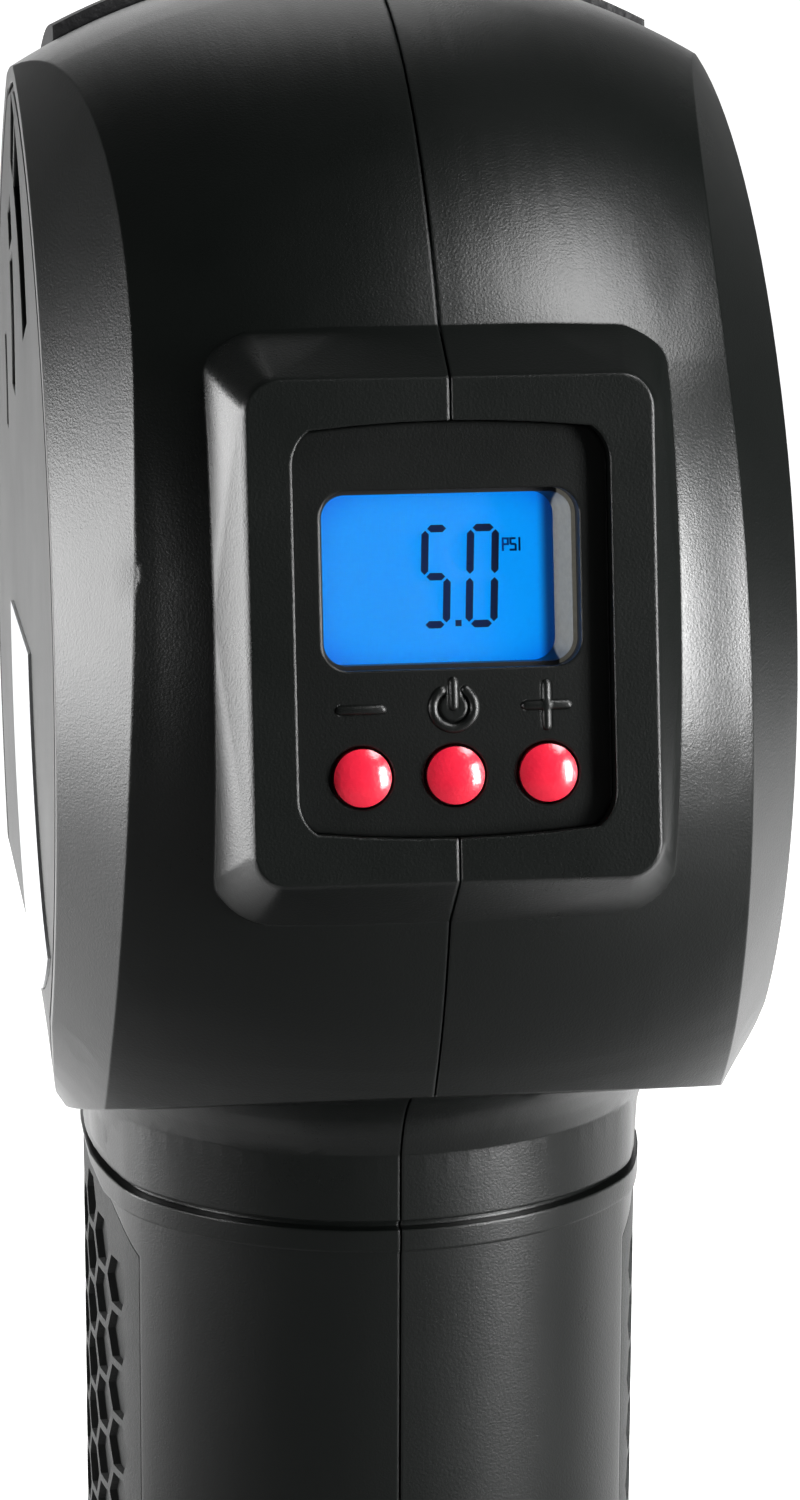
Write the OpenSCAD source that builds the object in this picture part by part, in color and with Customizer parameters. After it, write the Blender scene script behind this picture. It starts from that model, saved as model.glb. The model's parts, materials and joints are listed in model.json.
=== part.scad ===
// Cordless tyre inflator: a drum-shaped pump housing on a battery grip.
// +Z is up, +Y points out of the nose and the display faces -Y.
// The origin is the middle of the foot's flat underside.

/* [Drum] */
// Height of the drum's axis above the ground
drum_h = 176; // [172:0.5:190]
// How far the drum's axis sits behind the grip's axis
drum_back = 6; // [4:0.5:12]
// Tilt of the drum and its display towards the user's eye, in degrees
tilt = 10.5; // [6:0.5:14]
// Half the width across the flat side faces
face_half = 36.7; // [35.5:0.1:40]
// Radius of each flat side face at the rear
face_r = 50.6; // [50:0.1:53]
// Distance of the centres of the arcs over the top of a side face from the drum's axis
arch_side = 20.4; // [12:0.4:24]
// How far those centres lie below the drum's axis
arch_low = 8.5; // [5:0.5:10]
// Growth of the bevel's radius per millimetre towards the middle
bevel_slope = 1.5; // [1.3:0.05:1.7]
// Radius of the crowned band at the parting line
crown_r = 67.6; // [67:0.1:69]
// Radius of the arc that crowns the band
crown_arc = 70; // [68:1:90]
// Height of the band's centre above the side faces' centre
band_lift = 2.4; // [1:0.1:4]
// Depth of the drum's flat underside below its axis
under_drop = 54.6; // [52:0.2:56]
// Slope of the underside, which rises to the rear
under_slope = 0.33; // [0.28:0.01:0.38]
// Radius of the hollow sweep between the drum and the neck
neck_sweep = 17; // [14:1:24]

/* [Housing] */
// Wall of the two shells
wall = 2.6; // [2.2:0.1:3]
// Width of the parting line
seam = 0.24; // [0.16:0.02:0.4]
// Gap round a piece that is fixed in place
seat = 0.1; // [0.06:0.01:0.16]
// Gap round a piece that moves
clear = 0.3; // [0.25:0.05:0.4]
// Width of the channel over the top
channel_w = 17; // [14:0.5:20]
// Height of the channel's floor above the drum's axis
channel_z = 65.8; // [65:0.1:66.6]

/* [Top] */
// Radius of the hose clip's bore
clip_bore = 3.3; // [3:0.1:3.6]
// Wall of the hose clip
clip_wall = 1.2; // [1:0.1:1.6]
// Length of the hose clip
clip_len = 9.8; // [8:0.2:11]
// Height of the foot that carries the hose clip
clip_lift = 2.8; // [2:0.1:3.4]
// Place of the hose clip to the right of the parting line
clip_x = 1.4; // [0:0.2:2]
// Distance of the hose clip in front of the drum's axis
clip_y = 6; // [0:0.5:12]
// Half the width across the top fairing
fairing_half = 32; // [30:0.5:33]
// Width of each of the fairing's ears
ear_w = 11; // [9:0.5:12]
// Distance of the fairing's centre in front of the drum's axis
fairing_y = 9; // [8:0.5:10]
// Height of the fairing's centre above the drum's axis
fairing_z = 8; // [7:0.5:8.5]
// Radius of the fairing
fairing_r = 64.4; // [63.4:0.2:66]

/* [Side covers] */
// Distance from the edge of a side face to its cover
cover_rim = 1.8; // [1.2:0.1:2.4]
// Thickness of a side cover
cover_t = 3.2; // [2.8:0.1:3.6]
// Radius of the opening behind a cover
window_r = 38; // [36:0.5:39]
// Radius of every vent's middle line
vent_r = 34; // [30:1:40]
// Width of the bar across a vent
vent_bar = 1.2; // [1:0.1:2]
// Radius of the crescent badge's outer edge
badge_r = 34; // [30:0.5:36]
// Radius of the crescent badge's inner edge
badge_inner_r = 35.5; // [33:0.5:38]
// Distance between the centres of those two edges
badge_step = 32; // [28:0.5:34]
// Thickness of the crescent badge
badge_t = 1; // [0.8:0.1:1.4]

/* [Display pod] */
// Half the width of the pod's rim
pod_half = 19.9; // [19:0.1:21]
// Top of the pod's rim above the drum's axis
pod_top = 25.3; // [24.5:0.1:27]
// Bottom of the pod's rim below the drum's axis
pod_bottom = 23.2; // [22.5:0.1:25]
// Distance of the pod's rim behind the drum's axis
pod_out = 68.2; // [68:0.1:70]
// Corner radius of the pod's rim
pod_corner = 3.6; // [3:0.1:5]
// Depth of the panel below the pod's rim
panel_sink = 2; // [1.4:0.1:2.2]
// Half the width of the control panel
panel_half = 15.05; // [14.8:0.05:15.6]
// Top of the panel at the middle, above the drum's axis
panel_top = 20.7; // [20.4:0.1:21.4]
// Bottom of the panel at the middle, below the drum's axis
panel_bottom = 18.6; // [18.3:0.1:19.4]
// Radius of the arcs that end the panel
panel_arc = 120; // [90:5:200]
// Corner radius of the panel
panel_corner = 4; // [3:0.2:5]
// Thickness of the panel
panel_t = 2.4; // [2:0.1:2.6]
// Width of the symbols above the buttons
symbol_w = 4.2; // [3.6:0.1:5]
// Width of the symbols' strokes
symbol_line = 0.8; // [0.6:0.1:1]

/* [Display] */
// Width of the display opening
lcd_w = 24.8; // [23.6:0.1:25.4]
// Height of the display opening
lcd_h = 17; // [16:0.1:18]
// Height of the display's middle above the drum's axis
lcd_z = 5.8; // [5.2:0.1:6.4]
// Corner radius of the display opening
lcd_corner = 2.6; // [2:0.1:3.4]
// Depth of the recess behind the panel
lcd_depth = 3.4; // [3:0.1:4]

/* [Buttons] */
// Diameter of a button
button_d = 5.5; // [5:0.1:6]
// Distance from button to button
button_pitch = 8.9; // [8.4:0.1:9.4]
// Height of the buttons' row below the drum's axis
button_z = 12.8; // [12.3:0.1:13.2]
// Travel of a button
button_travel = 0.8; // [0.5:0.1:1]
// Height of a button's dome above the panel
button_rise = 1.3; // [1.1:0.1:1.8]

/* [Grip] */
// Half the width of the grip
grip_half = 30.4; // [29.6:0.1:31]
// Half the depth of the grip
grip_deep = 36.4; // [35.4:0.1:37]
// Sideways place of the grip's corner centres
grip_cx = 12; // [11.6:0.1:12.6]
// Front-to-back place of the grip's corner centres
grip_cy = 14; // [13.5:0.1:14.5]
// Corner radius of the grip
grip_corner = 16.4; // [15.6:0.1:16.8]
// Depth of the groove ring below the drum's axis
ring_drop = 58; // [57:0.1:60]
// Width of the groove ring
ring_w = 0.8; // [0.6:0.1:1.2]
// Half the depth of a honeycomb pad, from front to back
pad_half = 22; // [17:0.5:24]
// Thickness of a honeycomb pad
pad_t = 1.4; // [1.2:0.1:1.5]
// Depth of the honeycomb's cells
cell_deep = 0.8; // [0.5:0.1:0.9]
// Distance from cell to cell
cell_pitch = 6.3; // [5.6:0.1:7]
// Width of the ridges between the cells
cell_ridge = 0.9; // [0.7:0.1:1.2]

/* [Nose] */
// Radius of the nose where it leaves the drum
nose_r = 36; // [34:0.2:36.4]
// Radius of the arc along the nose
nose_arc = 90; // [80:5:120]
// Distance of the nose's front from the drum's axis
nose_out = 88; // [84:0.5:92]
// Distance of the nose's widest place from the drum's axis
nose_start = 50; // [46:1:52]
// Width of the front cap's rim
cap_rim = 4; // [3:0.5:5]
// Radius of the outlet's threaded end
outlet_r = 4; // [3.6:0.1:4.4]
// Length of the outlet's threaded end
outlet_len = 9; // [7:0.5:12]
// Height of the outlet above the drum's axis
outlet_z = 5; // [4:0.5:6]
// Radius of the work light's lens
light_r = 6.4; // [5.5:0.1:7]
// Depth of the work light below the outlet
light_drop = 17.5; // [16.5:0.5:18.5]

/* [Trigger] */
// Width of the trigger
trigger_w = 14; // [12:0.5:16]
// Height of the trigger
trigger_h = 26; // [22:0.5:27]
// How far the trigger stands out of the grip
trigger_out = 9; // [7:0.5:11]
// Travel of the trigger
trigger_travel = 4; // [3:0.5:4.5]

/* [Battery] */
// Height of the battery's foot
foot_h = 28; // [24:0.5:30]
// Half the width of the foot
foot_half = 33; // [32.5:0.1:35]
// Half the length of the foot
foot_deep = 43; // [42:0.5:46]
// Thickness of the rubber sole
sole_t = 2; // [1.5:0.1:3]
// Radius of a battery cell
cell_r = 9.2; // [9:0.05:9.3]
// Length of a battery cell
cell_len = 65; // [60:0.5:66]
// Travel of a latch
latch_travel = 1.6; // [1:0.1:2]

/* [Pump] */
// Radius of the motor
motor_r = 18; // [17:0.1:19]
// Length of the motor
motor_len = 46; // [43:0.5:48]
// Height of the motor's axis below the drum's axis
motor_drop = 8; // [7:0.5:9]
// Radius of the motor's shaft
shaft_r = 1.6; // [1.5:0.05:2]
// Radius of the cooling fan
fan_r = 19; // [17:0.2:19]
// Number of blades on the cooling fan
fan_blades = 7; // [5:1:9]
// Radius of the crankcase
case_r = 20.5; // [19.5:0.1:21]
// Outer radius of the pump's cylinder
barrel_r = 11.5; // [10:0.1:12]
// Radius of the cooling fins
fin_r = 15; // [13.5:0.1:15]
// Number of cooling fins
fins = 4; // [3:1:4]
// Radius of the pressure tube
tube_r = 2.5; // [2:0.1:2.6]

/* [Hidden] */
$fn = 96;
eps = 0.01;
// planes of the display stack, behind the drum's axis
panel_y = -pod_out + panel_sink;
panel_back = panel_y + panel_t;
window_y = panel_back + lcd_depth;
window_t = 1;
lcd_t = 3;
board_y = window_y + window_t + lcd_t;
board_t = 1.6;
ledge_t = 2.4;
// middle of the symbols, halfway between the display and the buttons
symbol_z = (lcd_z - lcd_h / 2 - button_z + button_d / 2) / 2;
symbol_deep = 0.3;
// levels from the ground up
neck_z = drum_h - ring_drop;
deck_z = neck_z - 16;
deck_t = 2.4;
stick_top = deck_z - 7;
pad_low = foot_h + 8;
pad_high = neck_z - 1.4;
// the covers' seats in the shells
cover_x = face_half - cover_t;
side_in = cover_x - seat - wall;
// radius of the crowned band where it meets the side faces
crown_edge = crown_r - crown_arc + sqrt(pow(crown_arc, 2) - pow(face_half, 2));
// how much wider the arcs over the top of a side face are, and the angle at which they start
arch_grow = sqrt(pow(arch_side, 2) + pow(arch_low, 2));
arch_at = atan2(arch_low, arch_side);
// vents of a side cover: centre of the arc in front of and above the drum's axis, width, first and last angle
vents = [[18, 24, 8, 12, 60], [40, 34, 5.4, -14.5, 20], [54, 27, 3, -9, 8.5]];
// the badge's outer edge, measured the same way
badge_y = -15;
badge_z = -3;
// radius and centre of the arc along the back of the grip
back_r = long_arc(grip_deep, grip_cy, grip_cx, grip_corner);
back_y = back_r - grip_deep;
sweep_in = 1.2;
// half the length of the channel over the top
channel_half = 30;
// middle of the hose clip's bore
clip_z = channel_z + clip_lift + clip_bore + clip_wall;
// the five screw bosses round the drum, as angles from the rear
boss_at = [45, 80, 200, 240, 300];
boss_ring = 44.6;
boss_r = 3.4;
screw_r = 1.5;
screw_gap = 0.05;
head_r = 2.8;
head_t = 1.5;
// pump and motor, measured from the drum's axis
motor_y = -42;
motor_end = motor_y + motor_len;
case_len = 29;
case_z = 2;
flange_half = 17.6;
flange_t = 4;
barrel_y = motor_end + 2 * seat + barrel_r + 1;
barrel_z = case_z + case_r + 1;
barrel_len = 20;
head_z = barrel_z + barrel_len;
head_h = 7;
tube_bend = 8;
tube_z = head_z + head_h / 2;
tube_start = barrel_y + barrel_r + 1.6;
tube_drop_y = tube_start + 4.5 + tube_bend;
// nose
nose_tip = nose_r - nose_arc + sqrt(pow(nose_arc, 2) - pow(nose_out - nose_start, 2));
cap_t = 3;
outlet_back = nose_out - 6;
// trigger
trigger_y = grip_deep - 11;
flange_w = 2;
// front of its flanges, just behind the curved wall
flange_y = sqrt(pow(back_r - wall, 2) - pow(trigger_w / 2 + flange_w + clear, 2)) - back_y - 0.4;
trigger_z = deck_z + deck_t + clear;

black = [0.10, 0.11, 0.11];
dark = [0.06, 0.06, 0.07];
silver = [0.80, 0.81, 0.82];
red = [0.85, 0.10, 0.13];
blue = [0.05, 0.55, 0.95];
brass = [0.80, 0.62, 0.28];
metal = [0.62, 0.63, 0.65];

// ---------- frames and small shapes ----------

// moves children to the drum's axis
module at_drum() translate([0, -drum_back, drum_h]) children();
// tips children back about the drum's axis
module tilted() rotate([-tilt, 0, 0]) children();
// sets children of a tipped shape upright again
module upright() rotate([tilt, 0, 0]) children();
// the frame of the display pod, the side faces and the band
module at_pod() at_drum() tilted() children();
// turns a shape's Z into +X
module along_x() rotate([0, 90, 0]) children();
// turns a shape's Z into +Y, and its Y into -Z
module along_y() rotate([-90, 0, 0]) children();
// a drawing with X to the right and Y up, raised towards -Y from the plane y
module from_rear(y) translate([0, y, 0]) rotate([90, 0, 0]) children();
// a side's own drawing: X to the rear, Y up, Z outwards; s is -1 on the left and 1 on the right
module on_side(s) mirror([s > 0 ? 1 : 0, 0, 0]) rotate([90, 0, -90]) children();
// a profile in Y and Z, w wide along X
module across(w) translate([-w / 2, 0, 0]) rotate([90, 0, 90]) linear_extrude(w) children();

// rounded rectangle
module rounded(w, h, r) {
    square([w - 2 * r, h], center = true);
    square([w, h - 2 * r], center = true);
    for (x = [-1, 1], y = [-1, 1]) translate([x * (w / 2 - r), y * (h / 2 - r)]) circle(r);
}

// radius of the long arc that meets two corner circles, for a half size a
function long_arc(a, along, across, r) = (pow(a - along, 2) + pow(across, 2) - pow(r, 2)) / (2 * (a - along - r));
// where that arc meets the corner circle, measured along the side
function meet(a, along, across, r) = across * long_arc(a, along, across, r) / (long_arc(a, along, across, r) - r);

// oval of eight arcs: half sizes a and b, corner circles of radius r about (cx, cy)
module oval(a, b, cx, cy, r) {
    ra = long_arc(a, cx, cy, r);
    rb = long_arc(b, cy, cx, r);
    ma = meet(a, cx, cy, r);
    mb = meet(b, cy, cx, r);
    intersection() {
        translate([a - ra, 0]) circle(ra, $fn = 360);
        translate([ra - a, 0]) circle(ra, $fn = 360);
        square([3 * a, 2 * ma], center = true);
    }
    for (m = [0, 1]) mirror([0, m]) intersection() {
        translate([0, b - rb]) circle(rb, $fn = 360);
        translate([-mb, -1]) square([2 * mb, 2 * b]);
    }
    for (x = [-1, 1], y = [-1, 1]) translate([x * cx, y * cy]) circle(r);
}

// the grip's section, grown by g
module grip_section(g = 0) oval(grip_half + g, grip_deep + g, grip_cx, grip_cy, grip_corner + g);
// the foot's section, grown by g
module foot_section(g = 0) oval(foot_half + g, foot_deep + g, foot_half - 17, foot_deep - 17, 15 + g);

// ---------- outer form, about the drum's axis ----------

// crowned band
module band(g) translate([0, 0, band_lift]) along_x() rotate_extrude() intersection() {
    translate([crown_r - crown_arc, 0]) circle(crown_arc + g, $fn = 360);
    translate([0, -face_half - 5]) square([crown_r + 5, 2 * face_half + 10]);
}

// in a side's drawing, the sector over the top where the outline follows two wider arcs
module arch_sector() polygon([[0, 0], [300 * cos(arch_at), 300 * sin(arch_at)],
    [-300 * cos(arch_at), 300 * sin(arch_at)]]);

// moves a side's drawing to the centre of one of those arcs, s is 1 for the rear one
module arch_centre(s) translate([-s * arch_side, -arch_low, 0]) children();

// outline of a side face, grown by g
module face_outline(g = 0) intersection() {
    union() {
        difference() {
            circle(face_r + g, $fn = 360);
            arch_sector();
        }
        intersection() {
            arch_centre(1) circle(face_r + arch_grow + g, $fn = 360);
            arch_centre(-1) circle(face_r + arch_grow + g, $fn = 360);
            arch_sector();
        }
    }
    translate([0, band_lift]) circle(crown_edge + g, $fn = 360);
}

// a double cone with radius r at the half width h
module double_cone(r, h) rotate_extrude() polygon([[0, -h], [r, -h], [r + bevel_slope * h, 0], [r, h], [0, h]]);

// the two bevels, ending at a half width h
module bevels(g, h) on_side(1) {
    r = face_r + bevel_slope * (face_half - h) + g * sqrt(1 + pow(bevel_slope, 2));
    difference() {
        double_cone(r, h);
        linear_extrude(2 * face_half + 10, center = true) arch_sector();
    }
    intersection() {
        arch_centre(1) double_cone(r + arch_grow, h);
        arch_centre(-1) double_cone(r + arch_grow, h);
        linear_extrude(2 * face_half + 10, center = true) arch_sector();
    }
}

// everything above the underside, which is flat in front and rises to the rear
module above_underside(g) {
    low = -under_drop - g;
    rise = under_slope * 100 - g * (sqrt(1 + pow(under_slope, 2)) - 1);
    across(200) polygon([[-100, low + rise], [0, low], [100, low], [100, 100], [-100, 100]]);
}

// hollow sweep round the back of the neck
module neck_flare(g) translate([0, back_y + drum_back, 1 - ring_drop]) rotate_extrude() difference() {
    square([back_r + neck_sweep - sweep_in, 0.97 * neck_sweep]);
    translate([back_r + neck_sweep - sweep_in, 0]) circle(neck_sweep - g, $fn = 180);
}

module drum_form(g = 0, h = face_half) intersection() {
    tilted() band(g);
    tilted() bevels(g, h);
    union() {
        above_underside(g);
        neck_flare(g);
    }
}

module nose_form(g = 0) along_y() rotate_extrude() intersection() {
    translate([nose_r - nose_arc, nose_start]) circle(nose_arc + g, $fn = 360);
    translate([0, 18]) square([nose_r + 5, nose_out - 18]);
}

// pod with sloped walls and rounded corners
module pod_form() {
    flare = [2.4, 5.4, 3.2];
    hull() for (x = [-1, 1], top = [0, 1]) {
        z = top ? pod_top - pod_corner : -pod_bottom + pod_corner;
        translate([x * (pod_half - pod_corner), 0, z]) from_rear(-pod_out + 1) linear_extrude(1) circle(pod_corner - 0.5, $fn = 32);
        translate([x * (pod_half - pod_corner), 0, z]) from_rear(-pod_out + 1.2) linear_extrude(0.6) circle(pod_corner, $fn = 32);
        translate([x * (pod_half + flare[0] - pod_corner - 1), 0, z + (top ? flare[1] : -flare[2])])
            from_rear(-pod_out + 10) linear_extrude(0.1) circle(pod_corner + 1, $fn = 32);
    }
}

// the neck and the grip, in heights above the ground
module grip_form() {
    translate([0, 0, foot_h]) linear_extrude(neck_z - foot_h - ring_w) grip_section();
    translate([0, 0, neck_z - ring_w - 2.4]) linear_extrude(2.4) grip_section(0.4);
    translate([0, 0, foot_h]) linear_extrude(5) grip_section(0.8);
    translate([0, 0, neck_z - ring_w - eps]) linear_extrude(ring_w + 2 * eps) grip_section(-0.9);
    translate([0, 0, neck_z]) linear_extrude(22) grip_section(0);
}

module outer_form() {
    at_drum() {
        drum_form();
        nose_form();
        tilted() pod_form();
    }
    grip_form();
}

module cavity_form() {
    at_drum() {
        drum_form(-wall, side_in);
        nose_form(-wall);
        along_y() translate([0, 0, nose_out - cap_t - seat]) cylinder(r = nose_tip - wall, h = cap_t + 2);
    }
    translate([0, 0, foot_h - 1]) linear_extrude(neck_z + 22 - foot_h) grip_section(-wall);
}

// ---------- panel outline, drawn from the rear with Y as height ----------

module panel_outline(g = 0) intersection() {
    translate([0, (panel_top - panel_bottom) / 2]) rounded(2 * (panel_half + g), panel_top + panel_bottom + 2 * g, panel_corner + g);
    translate([0, panel_top - panel_arc]) circle(panel_arc + g, $fn = 360);
    translate([0, panel_arc - panel_bottom]) circle(panel_arc + g, $fn = 360);
}

module lcd_outline(g = 0) translate([0, lcd_z]) rounded(lcd_w + 2 * g, lcd_h + 2 * g, lcd_corner + g);

// ---------- what the shells carry inside ----------

module boss_axes() on_side(1) for (a = boss_at) rotate([0, 0, a]) translate([boss_ring, 0, 0]) children();

// ribs that cradle the motor
module motor_ribs() intersection() {
    drum_form(-wall / 2, side_in);
    for (y = [motor_y + 8, motor_end - 10]) translate([-face_half, y, -56])
        cube([2 * face_half, wall, 60 - motor_drop]);
}

// bosses, ribs, the ledge behind the control panel and the deck over the battery
module shell_inside() {
    at_drum() {
        intersection() {
            boss_axes() translate([0, 0, -cover_x]) cylinder(r = boss_r, h = 2 * cover_x);
            drum_form(-wall / 2, cover_x - seat);
        }
        difference() {
            motor_ribs();
            translate([0, motor_y - 5, -motor_drop]) along_y() cylinder(r = motor_r + seat, h = motor_len + 10);
        }
        tilted() from_rear(panel_back + ledge_t) linear_extrude(ledge_t + 1) panel_outline(ledge_t);
        // floor under the channel
        tilted() intersection() {
            band(-wall / 2);
            translate([-channel_w / 2 - wall, -channel_half - wall, channel_z - wall])
                cube([channel_w + 2 * wall, 2 * (channel_half + wall), 3 * wall]);
        }
    }
    translate([0, 0, deck_z]) linear_extrude(deck_t) grip_section(-wall / 2);
}

module shell_cuts() {
    at_drum() {
        // seats and openings for the side covers
        for (s = [-1, 1]) tilted() on_side(s) {
            translate([0, 0, cover_x - seat]) linear_extrude(cover_t + 5) face_outline(seat - cover_rim);
            translate([0, 0, side_in - 1]) cylinder(r = window_r, h = wall + 2);
        }
        // screws and their heads
        boss_axes() {
            translate([0, 0, -cover_x + 6]) cylinder(r = screw_r + screw_gap, h = 2 * cover_x);
            translate([0, 0, cover_x - 2 * seat - head_t]) cylinder(r = head_r + seat, h = 5);
        }
        // seat and opening for the panel
        tilted() from_rear(panel_back) linear_extrude(panel_sink + panel_t + 5) panel_outline(seat);
        tilted() from_rear(panel_back + 12) linear_extrude(14) panel_outline(-1.5);
        // channel over the top
        tilted() translate([-channel_w / 2, -channel_half, channel_z]) cube([channel_w, 2 * channel_half, 10]);
    }
    // pockets for the honeycomb pads
    for (s = [-1, 1]) pad_layer(s, 1, -pad_t - seat, seat);
    // slot for the trigger
    translate([-trigger_w / 2 - clear, trigger_y - 2, trigger_z - clear]) cube([trigger_w + 2 * clear, 40, trigger_h + 2 * clear]);
    // wires pass the deck behind the trigger's switch
    translate([0, -8, deck_z - 1]) cylinder(r = 4, h = deck_t + 2);
}

module housing() {
    difference() {
        union() {
            difference() {
                outer_form();
                cavity_form();
            }
            shell_inside();
        }
        shell_cuts();
    }
}

module half(s) intersection() {
    housing();
    translate([s > 0 ? seam / 2 : -seam / 2 - 60, -120, foot_h - 5]) cube([60, 260, drum_h + 100]);
}

module left_housing() color(black) half(-1);
module right_housing() color(black) half(1);

// ---------- side covers and badges ----------

// a vent along an arc, in a side's drawing, with a bar near its upper end if it is wide
module vent(v) translate([-v[0], v[1], 0]) difference() {
    rotate([0, 0, v[3]]) rotate_extrude(angle = v[4] - v[3]) translate([vent_r - v[2] / 2, -10]) square([v[2], 20]);
    if (v[2] > 4) rotate([0, 0, v[4] - 9]) translate([vent_r - v[2], -vent_bar / 2, -11]) cube([2 * v[2], vent_bar, 22]);
}

// crescent between two circles, below a line that cuts off its upper horn
module crescent(g = 0) difference() {
    translate([-badge_y, badge_z]) circle(badge_r + g, $fn = 180);
    translate([badge_step - badge_y, badge_z + 3]) circle(badge_inner_r - g, $fn = 180);
    translate([-badge_y - badge_r - 10, badge_z + 7 + g]) rotate([0, 0, -9]) square([3 * badge_r, 2 * badge_r]);
}

module side_cover(s) on_side(s) difference() {
    // three steps round its edge
    union() {
        translate([0, 0, cover_x]) linear_extrude(cover_t - 0.8) face_outline(-cover_rim);
        translate([0, 0, cover_x]) linear_extrude(cover_t - 0.3) face_outline(-cover_rim - 0.3);
        translate([0, 0, cover_x]) linear_extrude(cover_t) face_outline(-cover_rim - 0.9);
    }
    for (v = vents) translate([0, 0, cover_x + 1]) vent(v);
    translate([0, 0, face_half - badge_t]) linear_extrude(5) crescent(seat);
    // thinned inside, with a rim that seats on the shell
    translate([0, 0, cover_x - eps]) difference() {
        cylinder(r = window_r - 1, h = 1);
        cylinder(r = 7, h = 1);
    }
}

module badge(s) on_side(s) translate([0, 0, face_half - badge_t]) linear_extrude(badge_t + 0.3) crescent();

module left_side_cover() color(dark) at_pod() side_cover(-1);
module right_side_cover() color(dark) at_pod() side_cover(1);
module left_badge() color(silver) at_pod() badge(-1);
module right_badge() color(silver) at_pod() badge(1);

// ---------- honeycomb pads ----------

function pad_edge(y, g) = pad_high + g - 6.5 * pow(abs(y) / pad_half, 2.5);

// a pad's outline in Y and Z
module pad_outline(g) polygon(concat(
    [[-pad_half - g, pad_low - g], [pad_half + g, pad_low - g]],
    [for (i = [10:-1:-10]) let (y = i / 10 * pad_half) [y + sign(i) * g, pad_edge(y, g)]]));

// the layer of the grip's side between two depths
module pad_layer(s, out, in, g) intersection() {
    translate([0, 0, pad_low - 2]) linear_extrude(pad_high - pad_low + 4) difference() {
        grip_section(out);
        grip_section(in);
    }
    translate([s * 40, 0, 0]) across(60) pad_outline(g);
}

module honeycomb() {
    step = cell_pitch * sqrt(3) / 2;
    cell = (cell_pitch - cell_ridge) / sqrt(3);
    columns = floor((pad_half - cell) / step);
    rows = ceil((pad_high - pad_low) / cell_pitch);
    for (c = [-columns:columns], k = [0:rows]) {
        y = c * step;
        z = pad_low + (k + (c % 2 == 0 ? 0.5 : 1)) * cell_pitch;
        if (z - cell_pitch / 2 > pad_low && z + cell_pitch / 2 < pad_edge(abs(y) + cell / 2, 0) + 0.4)
            translate([y, z]) circle(cell, $fn = 6);
    }
}

module grip_pad(s) difference() {
    pad_layer(s, 0, -pad_t, 0);
    intersection() {
        translate([s * 40, 0, 0]) across(60) honeycomb();
        translate([0, 0, pad_low]) linear_extrude(pad_high - pad_low) difference() {
            grip_section(3);
            grip_section(-cell_deep);
        }
    }
}

module left_grip_pad() color(dark) grip_pad(-1);
module right_grip_pad() color(dark) grip_pad(1);

// ---------- control panel, display and buttons ----------

// a stroke w long, centred
module stroke(w) square([w, symbol_line], center = true);

// minus, power and plus for i of -1, 0 and 1
module symbol(i) {
    if (i != 0) stroke(symbol_w);
    if (i > 0) rotate([0, 0, 90]) stroke(symbol_w);
    if (i == 0) {
        difference() {
            circle(symbol_w / 2);
            circle(symbol_w / 2 - symbol_line);
            translate([-symbol_line, 0]) square([2 * symbol_line, symbol_w]);
        }
        translate([0, symbol_w / 4]) rotate([0, 0, 90]) stroke(symbol_w / 2);
    }
}

module board_post(x, z) translate([x, panel_back - eps, z]) along_y() cylinder(r = 1.3, h = board_y - panel_back + eps);

module control_panel() color(dark) at_pod() difference() {
    union() {
        from_rear(panel_back) linear_extrude(panel_t) panel_outline();
        // posts that the circuit board sits on
        for (x = [-1, 1]) {
            board_post(x * (panel_half - 4.4), panel_top - 3.4);
            board_post(x * button_pitch / 2, 3 - panel_bottom);
        }
    }
    from_rear(panel_back + 1) linear_extrude(panel_t + 2) lcd_outline();
    for (i = [-1:1]) {
        translate([i * button_pitch, panel_y - 1, -button_z]) along_y() cylinder(d = button_d + 2 * clear, h = panel_t + 2);
        from_rear(panel_y + symbol_deep) linear_extrude(2) translate([i * button_pitch, symbol_z]) symbol(i);
    }
}

module lcd_frame() color([0.80, 0.77, 0.70]) at_pod() from_rear(window_y) linear_extrude(lcd_depth) difference() {
    lcd_outline(0.9);
    lcd_outline(-0.4);
}

module display_window() color([0.2, 0.6, 0.9, 0.5]) at_pod() from_rear(window_y + window_t) linear_extrude(window_t) lcd_outline(0.9);

module lcd_module() color(blue) at_pod() translate([-lcd_w / 2 - 1, window_y + window_t, lcd_z - lcd_h / 2 - 1])
    cube([lcd_w + 2, lcd_t, lcd_h + 2]);

module control_board() color([0.05, 0.30, 0.12]) at_pod() translate([-panel_half, board_y, -panel_bottom - 0.5])
    cube([2 * panel_half, board_t, panel_top + panel_bottom + 0.5]);

module at_button(i) at_pod() translate([i * button_pitch, 0, -button_z]) children();

module tact_switches() color(metal) for (i = [-1:1]) at_button(i) {
    translate([-2.3, board_y - 1.4, -2.3]) cube([4.6, 1.4, 4.6]);
    translate([0, board_y - 2, 0]) along_y() cylinder(r = 1.2, h = 0.7);
}

module button(i) color(red) at_button(i) {
    dome = (pow(button_d / 2, 2) + pow(0.8, 2)) / (2 * 0.8);
    along_y() rotate_extrude() {
        // domed cap
        intersection() {
            translate([0, panel_y - button_rise + dome]) circle(dome, $fn = 180);
            translate([0, panel_y - button_rise]) square([button_d / 2, panel_back - panel_y + button_rise + 0.4]);
        }
        // flange under the panel, and the stem
        translate([0, panel_back + seat]) square([button_d / 2 + 0.8, 0.9]);
        translate([0, panel_back]) square([1.3, board_y - 2 - button_travel - 0.2 - panel_back]);
    }
}

module minus_button() button(-1);
module power_button() button(0);
module plus_button() button(1);

// ---------- trigger ----------

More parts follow.
